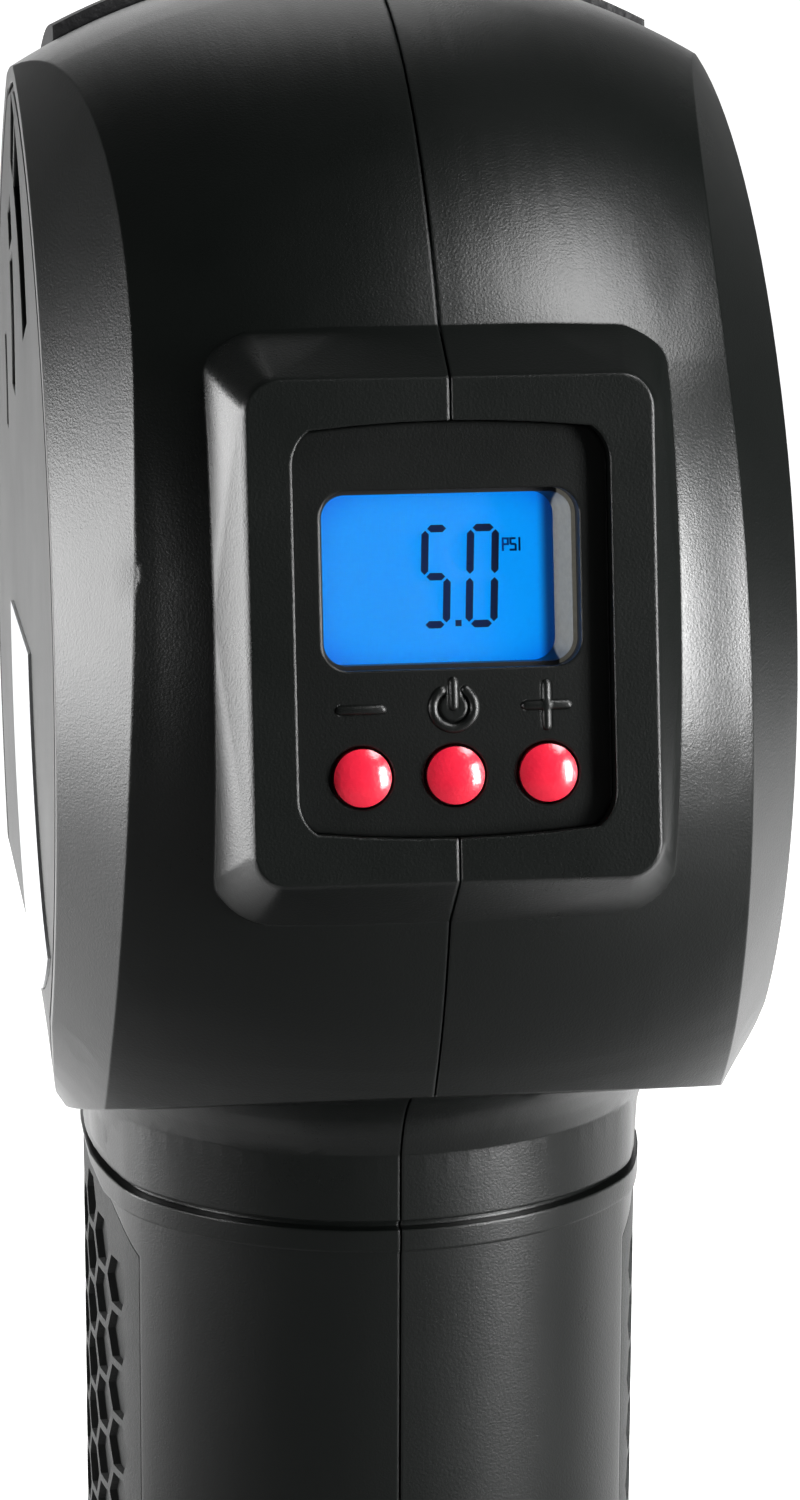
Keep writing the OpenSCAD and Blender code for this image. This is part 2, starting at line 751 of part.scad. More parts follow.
module trigger() color([0.13, 0.13, 0.14]) {
    difference() {
        translate([0, 0, trigger_z]) across(trigger_w) difference() {
            translate([trigger_y, 0]) square([grip_deep + trigger_out - trigger_y, trigger_h]);
            // finger hollow
            translate([grip_deep + trigger_out + 17, trigger_h / 2 - 1.5]) circle(20.5, $fn = 180);
            // sloped top
            translate([grip_deep + trigger_out, trigger_h]) rotate([0, 0, 45]) square(5, center = true);
        }
        // lightened from behind
        translate([-trigger_w / 2 + 2, trigger_y - 1, trigger_z + 2]) cube([trigger_w - 4, 6, trigger_h - 4]);
    }
    // flanges that stop it in the slot
    for (s = [-1, 1]) translate([s * trigger_w / 2 - (s < 0 ? 2 : 0), trigger_y, trigger_z])
        cube([flange_w, flange_y - trigger_y, trigger_h]);
}

module trigger_switch() color(dark) {
    translate([-6, 3, deck_z + deck_t]) cube([12, trigger_y - trigger_travel - 4.4, 10]);
    translate([-1.5, trigger_y - trigger_travel - 1.5, deck_z + deck_t + 4]) cube([3, 1.2, 3]);
}

// ---------- nose ----------

module light_place() translate([0, 0, outlet_z - light_drop]) children();

module front_cap() color(dark) at_drum() difference() {
    along_y() {
        translate([0, 0, nose_out - cap_t]) cylinder(r = nose_tip - wall - seat, h = cap_t);
        translate([0, 0, nose_out]) rotate_extrude() polygon([[nose_tip - cap_rim, -1], [nose_tip - wall - seat, -1],
            [nose_tip - wall - seat, seat], [nose_tip - 0.2, seat], [nose_tip - 0.2, 1.2], [nose_tip - 1.2, 2.6], [nose_tip - cap_rim, 1.6]]);
    }
    translate([0, nose_out - 20, outlet_z]) along_y() cylinder(r = outlet_r + 1 + seat, h = 40);
    light_place() translate([0, nose_out - 20, 0]) along_y() cylinder(r = light_r + seat, h = 40);
}

module outlet_fitting() color(brass) at_drum() translate([0, 0, outlet_z]) difference() {
    union() {
        translate([0, outlet_back, 0]) along_y() cylinder(r = outlet_r + 1, h = nose_out + 1 - outlet_back);
        translate([0, outlet_back + 0.5, 0]) along_y() cylinder(r = outlet_r + 2.6, h = nose_out - cap_t - outlet_back - 0.5 - seat);
        translate([0, nose_out, 0]) along_y() cylinder(r = outlet_r + 2, h = 3, $fn = 6);
        translate([0, nose_out, 0]) along_y() cylinder(r = outlet_r, h = 3 + outlet_len);
    }
    translate([0, outlet_back - 1, 0]) along_y() cylinder(r = tube_r - 1, h = 40);
}

module led_lens() color([0.9, 0.95, 1, 0.5]) at_drum() light_place() translate([0, nose_out - 2, 0]) along_y() rotate_extrude()
    polygon([[0, 0], [light_r, 0], [light_r, 2], [light_r - 1.5, 2.8], [0, 3.1]]);

module led_reflector() color(silver) at_drum() light_place() translate([0, nose_out - 9, 0]) along_y() rotate_extrude()
    polygon([[0, 0], [light_r - 1.6, 0], [light_r, 2], [light_r, 7 - seat], [light_r - 0.8, 7 - seat], [2.6, 2], [0, 2]]);

module led_chip() color([1, 1, 0.85]) at_drum() light_place() translate([-1.6, nose_out - 7, -1.6]) cube([3.2, 0.9, 3.2]);

// ---------- top of the drum ----------

module hose_clip() color([0.42, 0.43, 0.44]) at_pod() translate([clip_x, clip_y, clip_z]) difference() {
    union() {
        translate([0, -clip_len / 2, 0]) along_y() cylinder(r = clip_bore + clip_wall, h = clip_len);
        // foot on the channel's floor
        translate([-clip_bore, -clip_len / 2, channel_z - clip_z]) cube([2 * clip_bore, clip_len, clip_z - channel_z - clip_bore]);
    }
    translate([0, -clip_len, 0]) along_y() cylinder(r = clip_bore, h = 2 * clip_len);
    // mouth
    translate([-clip_bore * 0.7, -clip_len, 0]) cube([clip_bore * 1.4, 2 * clip_len, 3 * clip_bore]);
}

// two ears on a bridge over the root of the nose
module top_fairing() color(dark) at_pod() difference() {
    intersection() {
        translate([0, fairing_y, fairing_z]) along_x() rotate_extrude() intersection() {
            translate([fairing_r - crown_arc, 0]) circle(crown_arc, $fn = 360);
            polygon([[0, -fairing_half], [fairing_r - 7, -fairing_half], [fairing_r, 4 - fairing_half],
                [fairing_r, fairing_half - 4], [fairing_r - 7, fairing_half], [0, fairing_half]]);
        }
        // ends at the top, and tapers over the root of the nose
        translate([0, 0, 26]) linear_extrude(60) polygon([[-fairing_half, 0], [fairing_half, 0], [fairing_half, 24],
            [20, 62], [-20, 62], [-fairing_half, 24]]);
    }
    // channel between the ears, and a groove for the hose over the bridge
    translate([-fairing_half + ear_w, -1, 0]) cube([2 * (fairing_half - ear_w), 24, 90]);
    translate([clip_x, 0, band_lift]) along_x() rotate_extrude() translate([clip_z - band_lift, 0]) circle(clip_bore + clear);
    band(seat);
    upright() nose_form(seat);
}

// ---------- pump and motor ----------

module motor_can() color(metal) at_drum() translate([0, motor_y, -motor_drop]) difference() {
    along_y() {
        rotate_extrude() polygon([[0, 0], [motor_r - 1.2, 0], [motor_r, 1.2], [motor_r, motor_len - 1.2],
            [motor_r - 1.2, motor_len], [0, motor_len]]);
        translate([0, 0, -1.8]) cylinder(r = 5.6, h = 2);
    }
    translate([0, -3, 0]) along_y() cylinder(r = shaft_r + 0.04, h = 13);
    for (a = [0:90:270]) rotate([0, a, 0]) translate([9.5, -1, -1.6]) cube([4.4, 3, 3.2]);
}

module rotor_shaft() color([0.7, 0.7, 0.72]) at_drum() translate([0, motor_y - 9.5, -motor_drop]) along_y() cylinder(r = shaft_r, h = 18);

module cooling_fan() color(dark) at_drum() translate([0, motor_y - 8.6, -motor_drop]) difference() {
    union() {
        along_y() cylinder(r = 5.4, h = 6);
        intersection() {
            for (i = [0:fan_blades - 1]) rotate([0, i * 360 / fan_blades, 0]) translate([fan_r / 2, 3, 0]) rotate([32, 0, 0])
                cube([fan_r + 2, 9, 1.3], center = true);
            along_y() translate([0, 0, 0.2]) cylinder(r = fan_r, h = 5.6);
        }
    }
    translate([0, -1, 0]) along_y() cylinder(r = shaft_r, h = 8);
}

// crankcase on a square flange, with the seat of the cylinder on top
module crankcase() color([0.55, 0.56, 0.58]) at_drum() translate([0, motor_end + seat, case_z]) difference() {
    union() {
        along_y() cylinder(r = case_r - 1.5, h = case_len);
        along_y() linear_extrude(flange_t) rounded(2 * flange_half, 2 * flange_half, 5);
        translate([0, barrel_y - motor_end - seat, 0]) cylinder(r = barrel_r + 1, h = case_r + 1 - seat);
    }
    for (x = [-1, 1], z = [-1, 1]) translate([x * (flange_half - 4), -1, z * (flange_half - 4)])
        along_y() cylinder(r = 1.3, h = flange_t + 2);
}

module pump_cylinder() color(metal) at_drum() translate([0, barrel_y, barrel_z]) {
    cylinder(r = barrel_r, h = barrel_len - seat);
    for (i = [0:fins - 1]) translate([0, 0, 2.4 + i * 4.6]) cylinder(r = fin_r, h = 1.6);
}

module cylinder_head() color([0.62, 0.63, 0.64]) at_drum() translate([0, barrel_y, head_z]) {
    rotate_extrude() polygon([[0, 0], [barrel_r + 1.4, 0], [barrel_r + 1.4, head_h - 1.4], [barrel_r, head_h], [0, head_h]]);
    translate([0, 0, head_h / 2]) along_y() cylinder(r = tube_r + 0.6, h = tube_start - barrel_y);
}

// a quarter bend about (y, z), starting at an angle in the Y-Z plane
module bend(y, z, start) translate([0, y, z]) rotate([90, 0, 90]) rotate([0, 0, start])
    rotate_extrude(angle = 90) translate([tube_bend, 0]) circle(tube_r);

module pressure_tube() color([0.15, 0.15, 0.16]) at_drum() {
    translate([0, tube_start, tube_z]) along_y() cylinder(r = tube_r, h = tube_drop_y - tube_bend - tube_start);
    bend(tube_drop_y - tube_bend, tube_z - tube_bend, 0);
    translate([0, tube_drop_y, outlet_z + tube_bend]) cylinder(r = tube_r, h = tube_z - outlet_z - 2 * tube_bend);
    bend(tube_drop_y + tube_bend, outlet_z + tube_bend, 180);
    translate([0, tube_drop_y + tube_bend, outlet_z]) along_y() cylinder(r = tube_r, h = outlet_back - tube_drop_y - tube_bend);
}

// ---------- battery ----------

blade_x = [-9, 0, 9];
cap_h = 3;
cell_ring = 2 * (cell_r + 0.25) / sqrt(3);
cell_z = stick_top - 2.4 - cell_len;

module cell_places() for (a = [90, 210, 330]) rotate([0, 0, a]) translate([cell_ring, 0, 0]) children();

module terminal_block() color(dark) {
    translate([-13, -6, deck_z - 4]) cube([26, 12, 4]);
    for (x = blade_x) translate([x - 0.5, -4, deck_z - 8.6]) cube([1, 8, 5]);
}

module cell_bores() translate([0, 0, cell_z]) cell_places() cylinder(r = cell_r + seat, h = cell_len + 20);

module battery_case() color(black) difference() {
    union() {
        translate([0, 0, sole_t]) linear_extrude(foot_h - sole_t - seat - 4) foot_section();
        translate([0, 0, sole_t + 2]) linear_extrude(foot_h - sole_t - seat - 2 - 5.2) foot_section(0.6);
        translate([0, 0, sole_t]) linear_extrude(foot_h - sole_t - seat) foot_section(-1.6);
    }
    cell_bores();
    // pockets for the latches
    for (s = [-1, 1]) translate([s * (foot_half - 2), 0, foot_h / 2 + 1]) cube([10, 16 + 2 * clear, 9 + 2 * clear], center = true);
    // pocket for the charging socket
    translate([-6.4, -foot_deep - 1, 11.4]) cube([12.8, 9.6, 7.2]);
}

// sleeve that carries the cells up inside the grip
module battery_stem() color(black) difference() {
    translate([0, 0, foot_h - seat]) linear_extrude(stick_top - foot_h - cap_h) grip_section(-wall - clear - 0.1);
    cell_bores();
}

module battery_cells() color([0.15, 0.45, 0.35]) translate([0, 0, cell_z]) cell_places()
    rotate_extrude() polygon([[0, 0], [cell_r - 0.6, 0], [cell_r, 0.6], [cell_r, cell_len - 0.6], [cell_r - 0.6, cell_len - 0.2],
        [3, cell_len - 0.2], [3, cell_len], [0, cell_len]]);

module battery_cap() color(dark) difference() {
    translate([0, 0, stick_top - cap_h]) linear_extrude(cap_h) grip_section(-wall - clear - 0.1);
    for (x = blade_x) translate([x - 0.5 - clear, -4 - clear, stick_top - 2]) cube([1 + 2 * clear, 8 + 2 * clear, 5]);
    translate([0, 0, stick_top - cap_h - eps]) cylinder(r = 20, h = 0.6);
}

module latch(s) color([0.35, 0.36, 0.37]) translate([s * (foot_half + 0.6), 0, foot_h / 2 + 1]) {
    translate([s > 0 ? -5.4 : -1.2, -8, -4.5]) cube([6.6, 16, 9]);
    for (z = [-2.4, 0, 2.4]) translate([s * 1.2, 0, z]) cube([1, 12, 0.9], center = true);
}
module left_latch() latch(-1);
module right_latch() latch(1);

module charge_socket() color(metal) translate([0, -foot_deep + 0.4, 15]) difference() {
    translate([-6.3, 0, -3.5]) cube([12.6, 8, 7]);
    translate([0, 6, 0]) rotate([90, 0, 0]) linear_extrude(10) rounded(9, 3.2, 1.55);
}

module foot_sole() color([0.05, 0.05, 0.05]) difference() {
    linear_extrude(sole_t) foot_section(-1.2);
    // two grooves
    for (g = [-5, -8]) translate([0, 0, -1]) linear_extrude(1 + sole_t / 2) difference() {
        foot_section(g);
        foot_section(g - 1.4);
    }
}

// ---------- screws ----------

module housing_screws() color(metal) at_drum() boss_axes() difference() {
    union() {
        translate([0, 0, -cover_x + 7]) cylinder(r = screw_r, h = 2 * cover_x - 7 - seat - head_t);
        translate([0, 0, cover_x - seat - head_t]) cylinder(r = head_r, h = head_t - seat);
    }
    for (t = [0, 90]) rotate([0, 0, t]) translate([-1.7, -0.3, cover_x - 1.1]) cube([3.4, 0.6, 3]);
}

left_housing();
right_housing();
left_side_cover();
right_side_cover();
left_badge();
right_badge();
left_grip_pad();
right_grip_pad();
control_panel();
lcd_frame();
display_window();
lcd_module();
control_board();
tact_switches();
minus_button();
power_button();
plus_button();
trigger();
trigger_switch();
front_cap();
outlet_fitting();
led_lens();
led_reflector();
led_chip();
hose_clip();
top_fairing();
motor_can();
rotor_shaft();
cooling_fan();
crankcase();
pump_cylinder();
cylinder_head();
pressure_tube();
terminal_block();
battery_case();
battery_stem();
battery_cells();
battery_cap();
left_latch();
right_latch();
charge_socket();
foot_sole();
housing_screws();
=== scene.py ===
"""Looks of the portable tire inflator, built on its CAD model.

Sizes are in millimetres, in the drum's own frame unless a comment says otherwise: x to the right of
someone who reads the display, y from the display to the nose, z up, all from the drum's axis, which
leans back with the display. Sizes of materials, lights and the floor are in metres.
"""

import json
import math

import bmesh
import bpy
from mathutils import Matrix, Vector


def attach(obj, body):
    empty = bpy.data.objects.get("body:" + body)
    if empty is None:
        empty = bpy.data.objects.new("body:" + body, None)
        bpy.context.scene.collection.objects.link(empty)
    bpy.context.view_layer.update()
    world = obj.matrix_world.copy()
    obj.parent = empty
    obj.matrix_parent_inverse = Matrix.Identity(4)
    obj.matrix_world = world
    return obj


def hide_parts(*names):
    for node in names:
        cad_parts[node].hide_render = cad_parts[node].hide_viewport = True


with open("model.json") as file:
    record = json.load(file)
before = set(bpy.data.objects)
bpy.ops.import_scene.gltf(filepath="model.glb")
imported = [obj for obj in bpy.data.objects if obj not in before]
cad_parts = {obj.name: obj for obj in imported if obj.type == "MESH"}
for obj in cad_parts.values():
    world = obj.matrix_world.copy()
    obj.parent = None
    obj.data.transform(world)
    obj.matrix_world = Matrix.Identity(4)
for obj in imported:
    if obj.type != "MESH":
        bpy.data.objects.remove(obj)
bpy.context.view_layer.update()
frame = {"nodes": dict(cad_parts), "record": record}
nodes = frame["nodes"]

MM = 0.001
# the drum's axis in the model, and the angle by which the drum leans back
DRUM_Y = -6.0
DRUM_Z = 176.0
TILT = math.radians(10.5)
# takes metres in the drum's frame to metres in the model, and back
FROM_DRUM = Matrix.Translation(Vector((0, DRUM_Y, DRUM_Z)) * MM) @ Matrix.Rotation(-TILT, 4, "X")
TO_DRUM = FROM_DRUM.inverted()


def linked(name, data):
    """An object in the scene that shows the data."""
    thing = bpy.data.objects.new(name, data)
    bpy.context.collection.objects.link(thing)
    return thing


# ---------- camera ----------

CAMERA_PLACE = (-66.956, -528.557, 18.394)
CAMERA_LOOK = (0.132425, 0.990028, -0.048035)
# how far the picture's level line turns away from x, and the camera's roll about its look
LEVEL_TURN = 0.1330
ROLL = -0.0218
# the lens, in pixels of the upright frame
FOCAL_PX = 4939.6
FRAME_HEIGHT_PX = 1500
LENS_CENTRE_PX = 684.34


def make_camera():
    look = Vector(CAMERA_LOOK).normalized()
    level = Vector((math.cos(LEVEL_TURN), -math.sin(LEVEL_TURN), 0))
    above = level.cross(look)
    right = level * math.cos(ROLL) + above * math.sin(ROLL)
    up = above * math.cos(ROLL) - level * math.sin(ROLL)
    data = bpy.data.cameras.new("camera")
    data.lens = FOCAL_PX * data.sensor_width / FRAME_HEIGHT_PX
    data.shift_y = (LENS_CENTRE_PX - FRAME_HEIGHT_PX / 2) / FRAME_HEIGHT_PX
    data.clip_start = 0.02
    data.clip_end = 20
    camera = linked("camera", data)
    axes = Matrix((right, up, -look)).transposed().to_4x4()
    camera.matrix_world = FROM_DRUM @ Matrix.Translation(Vector(CAMERA_PLACE) * MM) @ axes
    bpy.context.scene.camera = camera


make_camera()

# ---------- shader maths ----------


class Signal:
    """A value that varies over a surface; arithmetic on it adds Math nodes."""

    def __init__(self, finish, socket):
        self.finish = finish
        self.socket = socket

    def __add__(self, other):
        return self.finish.math("ADD", self, other)

    __radd__ = __add__

    def __sub__(self, other):
        return self.finish.math("SUBTRACT", self, other)

    def __rsub__(self, other):
        return self.finish.math("SUBTRACT", other, self)

    def __mul__(self, other):
        return self.finish.math("MULTIPLY", self, other)

    __rmul__ = __mul__

    def __truediv__(self, other):
        return self.finish.math("DIVIDE", self, other)

    def __rtruediv__(self, other):
        return self.finish.math("DIVIDE", other, self)

    def __pow__(self, other):
        return self.finish.math("POWER", self, other)

    def __rpow__(self, other):
        return self.finish.math("POWER", other, self)

    def __abs__(self):
        return self.finish.math("ABSOLUTE", self)

    def step(self, start, end):
        """0 before start, 1 after end, and smooth between."""
        smooth = {"interpolation_type": "SMOOTHSTEP"}
        values = {"Value": self, "From Min": start, "From Max": end}
        return self.finish.node("ShaderNodeMapRange", smooth, values)("Result")


class Finish:
    """A material on object coordinates, built around one Principled shader."""

    # sockets of the Mix node that its colours use
    MIX_SHARE, MIX_FIRST, MIX_SECOND, MIX_RESULT = 0, 6, 7, 2
    BEVEL_SAMPLES = 6

    def __init__(self, name, color, roughness, **constants):
        self.material = bpy.data.materials.new(name)
        self.material.use_nodes = True
        self.material.diffuse_color = (*color, 1.0)
        self.tree = self.material.node_tree
        self.tree.nodes.clear()
        self.shader = self.tree.nodes.new("ShaderNodeBsdfPrincipled")
        output = self.tree.nodes.new("ShaderNodeOutputMaterial")
        self.tree.links.new(self.shader.outputs["BSDF"], output.inputs["Surface"])
        self.put("Base Color", color)
        self.put("Roughness", roughness)
        for key, value in constants.items():
            self.put(key.replace("_", " "), value)

    def put(self, socket_name, value):
        """Sets a socket of the shader, or links a signal to it."""
        self._set(self.shader.inputs[socket_name], value)

    def _set(self, socket, value):
        if isinstance(value, Signal):
            self.tree.links.new(value.socket, socket)
        elif socket.type == "RGBA":
            socket.default_value = (*value, 1.0)
        else:
            socket.default_value = value

    def node(self, kind, settings=None, values=None):
        """Adds a node and returns a function from an output's name to its signal."""
        node = self.tree.nodes.new(kind)
        for key, value in (settings or {}).items():
            setattr(node, key, value)
        for key, value in (values or {}).items():
            self._set(node.inputs[key], value)
        return lambda name: Signal(self, node.outputs[name])

    def math(self, operation, *values):
        return self.node("ShaderNodeMath", {"operation": operation}, dict(enumerate(values)))("Value")

    def place(self):
        return self.node("ShaderNodeTexCoord")("Object")

    def axes(self):
        parts = self.node("ShaderNodeSeparateXYZ", None, {"Vector": self.place()})
        return parts("X"), parts("Y"), parts("Z")

    def noise(self, size, detail=2.0, roughness=0.5):
        """Cloudy noise from 0 to 1 whose features are about size metres wide."""
        values = {"Vector": self.place(), "Scale": 1 / size, "Detail": detail, "Roughness": roughness}
        return self.node("ShaderNodeTexNoise", None, values)("Fac")

    def cells(self, size):
        """Distance to the middles of cells that are about size metres wide."""
        values = {"Vector": self.place(), "Scale": 1 / size}
        return self.node("ShaderNodeTexVoronoi", {"feature": "F1"}, values)("Distance")

    def mix(self, share, first, second):
        """A colour between two colours."""
        values = {self.MIX_SHARE: share, self.MIX_FIRST: first, self.MIX_SECOND: second}
        return self.node("ShaderNodeMix", {"data_type": "RGBA"}, values)(self.MIX_RESULT)

    def bump(self, height, depth, under=None):
        """Raises the surface by height times depth metres."""
        values = {"Height": height, "Distance": depth, "Strength": 1.0}
        if under is not None:
            values["Normal"] = under
        return self.node("ShaderNodeBump", None, values)("Normal")

    def rounded_edges(self, radius):
        settings = {"samples": self.BEVEL_SAMPLES}
        return self.node("ShaderNodeBevel", settings, {"Radius": radius})("Normal")


def scaled(color, factor, lift=0.0):
    """A darker or lighter colour of the same hue, lifted a little from black."""
    return tuple(c * factor + lift for c in color)


# ---------- plastics ----------

# radius of the plastics' broken edges, in metres
EDGE_RADIUS = 0.0004
# the display's middle and half-size, where the frame's right wall casts painted shade on it, and where that
# wall itself is painted pale as if lit
LCD_X = -0.4
LCD_Z = 5.8
LCD_HALF_W = 12.4
LCD_HALF_H = 9.0
SHADE_START, SHADE_END = 9.2, 10.4
LIT_WALL_START, LIT_WALL_END = 10.55, 10.75


def grained(name, color, roughness, grain, depth):
    """Moulded plastic with a spark-eroded grain, broken edges, faint flow clouding and dust."""
    finish = Finish(name, color, roughness)
    fine = finish.noise(grain, detail=2.0, roughness=0.6)
    pits = finish.cells(grain * 1.7)
    cloud = finish.noise(0.018, detail=3.0, roughness=0.55)
    dust = finish.noise(grain * 3, detail=3.0, roughness=0.7).step(0.62, 0.78)
    relief = fine * 0.65 + pits * 0.35
    finish.put("Normal", finish.bump(relief, depth, under=finish.rounded_edges(EDGE_RADIUS)))
    finish.put("Roughness", roughness - 0.05 + cloud * 0.10 + fine * 0.05)
    lighter = scaled(color, 1.6, 0.0012)
    finish.put("Base Color", finish.mix(cloud * 0.25 + dust * 0.18, color, lighter))
    return finish.material


def rubber(name, color):
    """Matt rubber with a fine powdery skin."""
    finish = Finish(name, color, 0.62, Sheen_Weight=0.15)
    skin = finish.noise(0.00035, detail=3.0, roughness=0.65)
    bloom = finish.noise(0.012, detail=3.0, roughness=0.6)
    finish.put("Normal", finish.bump(skin, 0.00008))
    finish.put("Roughness", 0.5 + bloom * 0.18 + skin * 0.06)
    powdered = scaled(color, 2.1, 0.004)
    finish.put("Base Color", finish.mix(bloom.step(0.35, 0.75) * 0.6, color, powdered))
    return finish.material


def red_plastic():
    """Glossy red caps, a little darker where the colour is deep."""
    finish = Finish(
        "button_red", (0.62, 0.012, 0.035), 0.22, Coat_Weight=0.5, Coat_Roughness=0.12,
        Subsurface_Weight=0.12, Subsurface_Radius=(0.002, 0.0006, 0.0006),
    )
    swirl = finish.noise(0.0022, detail=3.0, roughness=0.55)
    skin = finish.noise(0.0004, detail=2.0, roughness=0.5)
    finish.put("Base Color", finish.mix(swirl, (0.52, 0.008, 0.03), (0.74, 0.022, 0.05)))
    finish.put("Roughness", 0.18 + skin * 0.1)
    finish.put("Normal", finish.bump(skin, 0.00003))
    return finish.material


def lit_display():
    """Backlit blue display: brightest in the middle, deep blue at the edges, with painted shade where the
    frame's right wall shades it.
    """
    finish = Finish("display_blue", (0.0, 0.0, 0.004), 0.6)
    x, y, z = finish.axes()
    level = (y / MM - DRUM_Y) * math.sin(TILT) + (z / MM - DRUM_Z) * math.cos(TILT)
    across = abs(x / MM - LCD_X) / LCD_HALF_W
    height = abs(level - LCD_Z) / LCD_HALF_H
    edge = (across ** 4.0 + height ** 4.0).step(0.15, 1.5)
    # painted shade: the display's glow darkens where the frame's right wall shades it
    shade = (x / MM).step(SHADE_START, SHADE_END)
    flicker = finish.noise(0.0009, detail=2.0, roughness=0.5)
    blue = finish.mix(edge, (0.0, 0.32, 1.0), (0.0, 0.12, 0.75))
    finish.put("Emission Color", finish.mix(shade * 0.9, blue, (0.0, 0.008, 0.07)))
    finish.put("Emission Strength", 1.0)
    finish.put("Roughness", 0.6 + flicker * 0.1)
    return finish.material


def display_frame():
    """Black frame of the display, with painted light on its right wall, which alone is painted pale as if
    lit.
    """
    finish = Finish("display_frame_black", (0.012, 0.012, 0.012), 0.4)
    x, _, _ = finish.axes()
    # painted light: only the frame's right wall is painted pale, standing in for the light that falls on it
    bare = (x / MM).step(LIT_WALL_START, LIT_WALL_END)
    mottle = finish.noise(0.0006, detail=3.0, roughness=0.7)
    lit_pale = finish.mix(mottle, (0.42, 0.40, 0.32), (0.66, 0.64, 0.55))
    finish.put("Base Color", finish.mix(bare, (0.006, 0.007, 0.009), lit_pale))
    finish.put("Roughness", 0.35 + mottle * 0.15)
    return finish.material


def clear_plastic(name, tint):
    """Clear plastic with a faint smear."""
    finish = Finish(name, tint, 0.04, Transmission_Weight=1.0, IOR=1.49)
    smear = finish.noise(0.006, detail=3.0, roughness=0.6)
    finish.put("Roughness", 0.02 + smear.step(0.5, 0.8) * 0.06)
    return finish.material


def flat_ink(name, color):
    """Ink of the display's dark bars, a little uneven."""
    finish = Finish(name, color, 0.3)
    grain = finish.noise(0.0003, detail=2.0, roughness=0.5)
    finish.put("Base Color", finish.mix(grain, color, scaled(color, 1.5)))
    finish.put("Roughness", 0.25 + grain * 0.1)
    return finish.material


# ---------- metals and inner pieces ----------

# height in the model, in metres, where the cells' sleeves end below their bare tops
SLEEVE_END = 0.0912


def metal(name, color, roughness, grain=0.0006, depth=0.00002):
    """Bare or plated metal with faint handling marks."""
    finish = Finish(name, color, roughness, Metallic=1.0)
    marks = finish.noise(grain, detail=3.0, roughness=0.6)
    cloud = finish.noise(0.006, detail=3.0, roughness=0.6)
    finish.put("Roughness", roughness - 0.06 + cloud * 0.14 + marks * 0.05)
    finish.put("Normal", finish.bump(marks, depth))
    finish.put("Base Color", finish.mix(cloud * 0.5, color, scaled(color, 0.72)))
    return finish.material


def silver_paint():
    """Satin silver lacquer with fine flake."""
    finish = Finish(
        "badge_silver", (0.72, 0.73, 0.74), 0.32, Metallic=0.75, Coat_Weight=0.35, Coat_Roughness=0.15,
    )
    flake = finish.cells(0.00012)
    cloud = finish.noise(0.01, detail=2.0, roughness=0.5)
    finish.put("Base Color", finish.mix(flake * 0.6, (0.82, 0.83, 0.84), (0.56, 0.57, 0.59)))
    finish.put("Roughness", 0.26 + cloud * 0.12)
    finish.put("Normal", finish.bump(flake, 0.00001))
    return finish.material


def circuit_green():
    """Green lacquer over copper tracks."""
    finish = Finish("board_green", (0.01, 0.11, 0.035), 0.4, Coat_Weight=0.3)
    grid = {"Vector": finish.place(), "Scale": 260.0, "Mortar Size": 0.018}
    tracks = finish.node("ShaderNodeTexBrick", {"offset": 0.5}, grid)("Fac")
    weave = finish.noise(0.0009, detail=2.0, roughness=0.6)
    finish.put("Base Color", finish.mix(tracks * 0.5, (0.008, 0.10, 0.03), (0.03, 0.20, 0.07)))
    finish.put("Normal", finish.bump(tracks + weave * 0.3, 0.00003))
    return finish.material


def cell_wrap():
    """Shrink sleeve of the battery cells, with a bare steel top."""
    finish = Finish("cell_wrap", (0.02, 0.22, 0.16), 0.3, Coat_Weight=0.4)
    _, _, z = finish.axes()
    bare = z.step(SLEEVE_END, SLEEVE_END + 0.0003)
    wrinkle = finish.noise(0.004, detail=4.0, roughness=0.6)
    sleeve = finish.mix(wrinkle, (0.015, 0.18, 0.13), (0.03, 0.27, 0.20))
    finish.put("Base Color", finish.mix(bare, sleeve, (0.6, 0.6, 0.58)))
    finish.put("Metallic", bare)
    finish.put("Normal", finish.bump(wrinkle, 0.0001))
    return finish.material


BLACK = (0.0020, 0.0028, 0.0024)
PANEL_BLACK = (0.0022, 0.0028, 0.0025)
NEUTRAL_BLACK = (0.012, 0.0125, 0.013)

